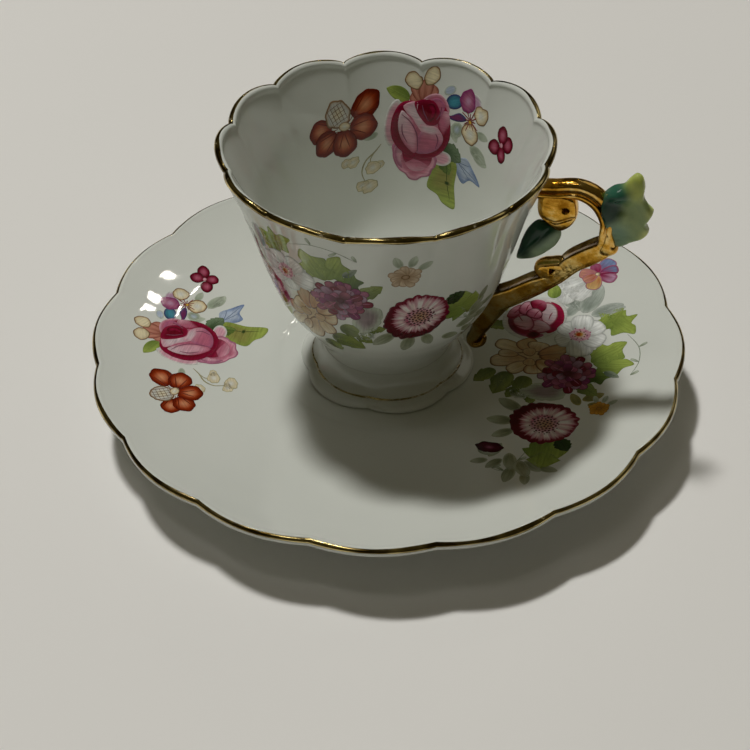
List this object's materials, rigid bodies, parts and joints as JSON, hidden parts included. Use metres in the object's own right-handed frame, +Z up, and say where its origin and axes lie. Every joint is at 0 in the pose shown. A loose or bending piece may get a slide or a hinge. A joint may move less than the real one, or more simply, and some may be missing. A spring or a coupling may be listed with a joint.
{
  "type": "teacup",
  "caption": "Footed demitasse teacup with a lobed rim, gilded scroll handle and leaf thumb rest, on its matching lobed saucer, printed with flower sprays.",
  "frame": {"origin": "on the saucer's axis, on the surface that the saucer stands on", "axes": "+Z up along the axis of the cup and saucer, +X towards the cup's handle"},
  "size_m": [0.1188, 0.1188, 0.0608],
  "materials": {
    "glazed_porcelain": "clear gloss glaze over white porcelain",
    "bare_porcelain": "unglazed, matte",
    "gilding": "fired gold line, slightly worn",
    "gold_lustre": "bright liquid gold over glaze",
    "green_glaze": "shaded green glaze, gloss",
    "printed_flowers": "overglaze flower transfer, gloss"
  },
  "bodies": {
    "saucer": {"saucer": "glazed_porcelain", "saucer_foot_ring": "bare_porcelain", "saucer_rim_gilding": "gilding", "saucer_rose_spray": "printed_flowers", "saucer_blossom": "printed_flowers", "saucer_bouquet": "printed_flowers", "saucer_bud": "printed_flowers"},
    "cup": {"cup_bowl": "glazed_porcelain", "cup_foot": "glazed_porcelain", "cup_rim_gilding": "gilding", "cup_foot_gilding": "gilding", "handle_scroll": "gold_lustre", "handle_volute": "gold_lustre", "handle_curl": "gold_lustre", "handle_tail": "gold_lustre", "inner_leaf": "green_glaze", "thumb_leaf": "green_glaze", "cup_flower_spray": "printed_flowers", "cup_daisy_spray": "printed_flowers", "cup_sprig": "printed_flowers", "cup_inside_spray": "printed_flowers", "cup_inside_blossom": "printed_flowers"}
  },
  "joints": [
    {"name": "cup_lift", "type": "slide", "parent": "saucer", "child": "cup", "axis": [0, 0, 1], "range_m": [0, 0.06]}
  ]
}
